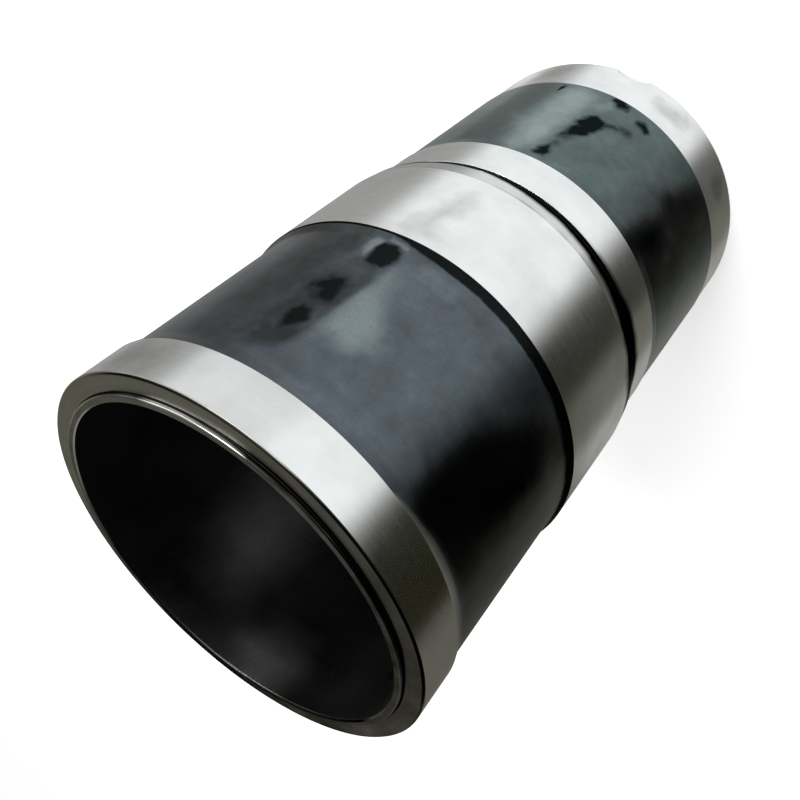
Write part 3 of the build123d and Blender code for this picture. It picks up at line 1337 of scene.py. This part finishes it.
FILMS_AND_LIGHT: tuple[Mark, ...] = (
    Smear(((20, 207, 8), (21, 182, 8), (22, 166, 7)), 0.14),
    Smear(((9.2, 202, 4.2), (8.4, 184, 4.8), (6.6, 168, 3.8)), 0.03),
    # Painted light: a paler stripe down the jacket near its left outline.
    Smear(((40, 214, 5), (40, 167, 5)), 0.6),
    # Painted shade: a dark line along the foot of the shoulder.
    Smear(((85, 156.2, 1.4), (16, 156.2, 1.4)), 0.03, 1),
    # Painted shade: dark and black stripes down the jacket round -47° to -64°.
    Smear(((-56, 212, 9), (-64, 172, 7)), -0.04),
    Smear(((-47, 212, 6.5), (-50, 198, 8), (-57, 180, 7)), -0.45, 1.6, 0.7),
    # Painted light: a paler stripe down the jacket near its right outline.
    Smear(((-82, 207, 6), (-84, 167, 6)), 0.62),
    Blot(
        (
            (2.5, 197), (3.5, 190), (2, 179), (2.5, 166), (0, 165), (-2, 175), (-5.5, 182),
            (-10.5, 190.5), (-12.5, 197), (-4.5, 199),
        ),
        0.8,
        4.5,
    ),  # fmt: skip
    Smear(((-0.6, 184, 3), (-2.4, 191.6, 3.6), (-6, 194.8, 3)), 0.92, 1.6, 0.9),
    Smear(((5.6, 197, 1.4), (5.6, 187, 1.8), (4.6, 176, 1.6)), 0.08, 1.6, 0.6),
    Smear(((-5.6, 163, 2.2), (-14, 163.6, 1.6)), 0.58, 1.6, 0.9),
    # Painted highlight: a small pale glint at 10° to 13°, 157 to 167 mm, beside a black blot.
    Blot(((10.5, 167), (13, 163), (13, 159), (12, 157), (9.5, 157.5)), 1, 1.2),
    Smear(((8, 156.4, 0.6), (3, 157.4, 0.5)), 0.85, 1, 0.8),
    # Painted light: a paler stripe down the lower jacket near its left outline.
    Smear(((40, 77, 6), (40, 32, 6)), 0.76),
    Smear(((9.5, 80, 3.4), (9, 71, 5.4), (10, 60, 7), (9.5, 40, 6.4)), 0.8, 1.6, 0.9),
    Smear(((8, 70, 3.2), (9, 62, 4.2)), 0.96, 1.6, 0.9),
    Smear(((9, 51, 4.4), (8.5, 36, 4.4)), 0.96, 1.6, 1),
    Smear(((-1, 37, 2.8), (-2.6, 33, 2)), 0.6, 1.6, 0.9),
    # Painted shade: darker, dark and black stripes down the lower jacket round -29° to -54°.
    Smear(((-29, 84, 5), (-32, 56, 6), (-33, 28, 5)), 0.24, 1.6, 0.9),
    Smear(((-53, 76, 9), (-54, 34, 9)), 0.03, 1.6, 0.8),
    Smear(((-40, 82, 4.6), (-44, 70, 5.4)), -0.4, 1.6, 0.9),
    Smear(((-42, 49, 4.4), (-46, 38, 4.6)), -0.2, 1.6, 1),
    # Painted light: a paler stripe down the lower jacket near its right outline.
    Smear(((-82, 78, 11), (-84, 32, 12)), 0.78),
    Smear(((128, 206, 3), (134, 196, 5), (131, 182, 2.6)), 0.78),
    Smear(((196, 208, 4), (204, 200, 6)), 0.12),
    Smear(((224, 178, 5), (229, 166, 3)), 0.74),
    Smear(((168, 74, 4), (172, 60, 6), (180, 42, 4)), 0.84),
    Smear(((112, 46, 5), (120, 36, 5)), 0.08),
    Smear(((240, 62, 5), (248, 48, 6)), 0.76),
)

TARNISHES: tuple[Mark, ...] = (
    Smear(((4.5, 146, 5), (3.5, 134, 5.4), (3, 126, 4.4)), 0.72, 1.2),
    Smear(((32, 9, 4), (25, 9, 4)), 0.8, 1.8),
    Smear(((36, 229, 5), (27, 229, 4.4)), 0.75),
    Smear(((-50, 9.5, 3.4), (-54, 11, 3)), 0.95, 1.4),
    Smear(((-14, 10, 3.4), (-24, 10, 4)), 0.85, 1.4),
    Smear(((148, 126, 4), (156, 140, 5)), 0.9),
    Smear(((230, 230, 4), (242, 226, 3)), 0.9),
    Smear(((118, 12, 4), (132, 10, 3)), 0.9),
)

# Painted shade: a black edge along the foot of the seat taper next to the undercut, and a fainter
# dark line along the seat's top edge.
SHADE_MARKS: tuple[Mark, ...] = (
    Smear(((6, 106.3, 1.4), (-14, 106.4, 2.3), (-34, 106.6, 2.9)), 1, 1),
    Smear(((-34, 106.6, 2.9), (-52, 106.8, 4.4), (-72, 106.8, 5)), 1.2, 1),
    Smear(((-72, 106.8, 5), (-94, 106.6, 3), (-125, 106.4, 2)), 1.2, 1),
    Smear(((60, 107.3, 1.1), (26, 107.3, 1.1), (8, 107.2, 0.7)), 0.8, 1),
    Smear(((40, 106.2, 1.3), (150, 106.2, 1.6), (240, 106.2, 2)), 0.9, 1),
    Smear(((0, 113.3, 0.5), (-32, 113.3, 0.5)), 0.34, 1),
)

WEARS_AND_LIGHT: tuple[Mark, ...] = (
    Smear(((-36, 221.6, 0.5), (-50, 221.4, 1.9), (-115, 221.4, 1.9)), 1, 1),
    Smear(((85, 156.2, 1.4), (16, 156.2, 1.4)), 0.09, 1),
    # Painted light: paler stripes down both jackets near their left and right outlines.
    Smear(((46, 212, 5), (46, 164, 5)), 0.3),
    Smear(((-90, 207, 6), (-90, 165, 6)), 0.4),
    Smear(((46, 78, 5), (46, 30, 5)), 0.34),
    Smear(((-87, 80, 9), (-87, 28, 9)), 0.85),
)

# Painted glow: two patches where the bore's tone is raised.
BORE_GLOW: tuple[Mark, ...] = (
    Smear(((156, 202, 12), (156, 186, 14)), 2.1, 1.2, 0.9),
    Smear(((-169, 236, 8), (-169, 231, 10)), 2.7, 0.8, 0.9),
)

PANELS: tuple[Panel, ...] = (
    Panel(158.0, 12.0, (0.8, 0.81, 0.8), 14.0),
    Panel(124.0, 16.0, (0.88, 0.88, 0.86), 10.0, -100.0, -56.0, 4.0),
    Panel(7.5, 50.5, (1.0, 1.02, 1.03), 13.0),
    Panel(36.0, 24.0, (0.8, 0.815, 0.82), 12.0, -34.0, 5.0, 6.0),
    Panel(-84.0, 20.0, (0.024, 0.024, 0.018), 10.0),
    Panel(-84.0, 20.0, (0.11, 0.11, 0.1), 8.0, -100.0, -57.0, 4.0),
    Panel(-122.0, 16.0, (0.15, 0.15, 0.125), 10.0),
    Panel(-160.0, 18.0, (0.38, 0.38, 0.36), 10.0),
    Panel(-87.0, 24.0, (0.012, 0.012, 0.005), 22.0, -36.0, 5.0, 5.0),
    Panel(-147.0, 24.0, (0.125, 0.12, 0.1), 8.0, -36.0, 5.0, 5.0),
    Panel(0.0, 200.0, (0.2, 0.2, 0.19), 10.0, 12.0, 74.0, 8.0),
    Panel(104.0, 36.0, (0.37, 0.345, 0.29), 12.0, -6.0, 16.0, 5.0),
    Panel(-95.0, 45.0, (0.01, 0.01, 0.009), 15.0, 12.0, 74.0, 8.0),
    Panel(148.0, 12.0, (0.21, 0.21, 0.172), 14.0, 10.0, 66.0, 8.0),
    Panel(174.0, 12.0, (0.3, 0.29, 0.265), 10.0, 10.0, 66.0, 8.0),
    Panel(70.0, 22.0, (1.9, 1.92, 1.95), 6.0, 22.0, 42.0, 5.0),
    Panel(0.0, 200.0, (0.55, 0.55, 0.54), 10.0, 86.0, 100.0, 6.0),
    Panel(0.0, 200.0, (0.06, 0.06, 0.055), 10.0, -100.0, -76.0, 8.0),
)


def main() -> None:
    """Builds the camera, the liner and the studio."""
    logging.basicConfig(level=logging.INFO, format="%(name)s: %(message)s")
    scene = bpy.context.scene
    scene.view_settings.view_transform = "Standard"
    PhotoCamera().build()
    log.info("camera placed")
    liner = Liner(
        stains_and_shade=STAINS_AND_SHADE,
        films_and_light=FILMS_AND_LIGHT,
        tarnishes=TARNISHES,
        shade_marks=SHADE_MARKS,
        wears_and_light=WEARS_AND_LIGHT,
        bore_glow=BORE_GLOW,
    ).build(FINISHES)
    log.info("%s: %d faces", liner.name, len(liner.data.polygons))
    Studio(LightTent(PANELS)).build()
    log.info("studio built")


if __name__ == "__main__":
    main()
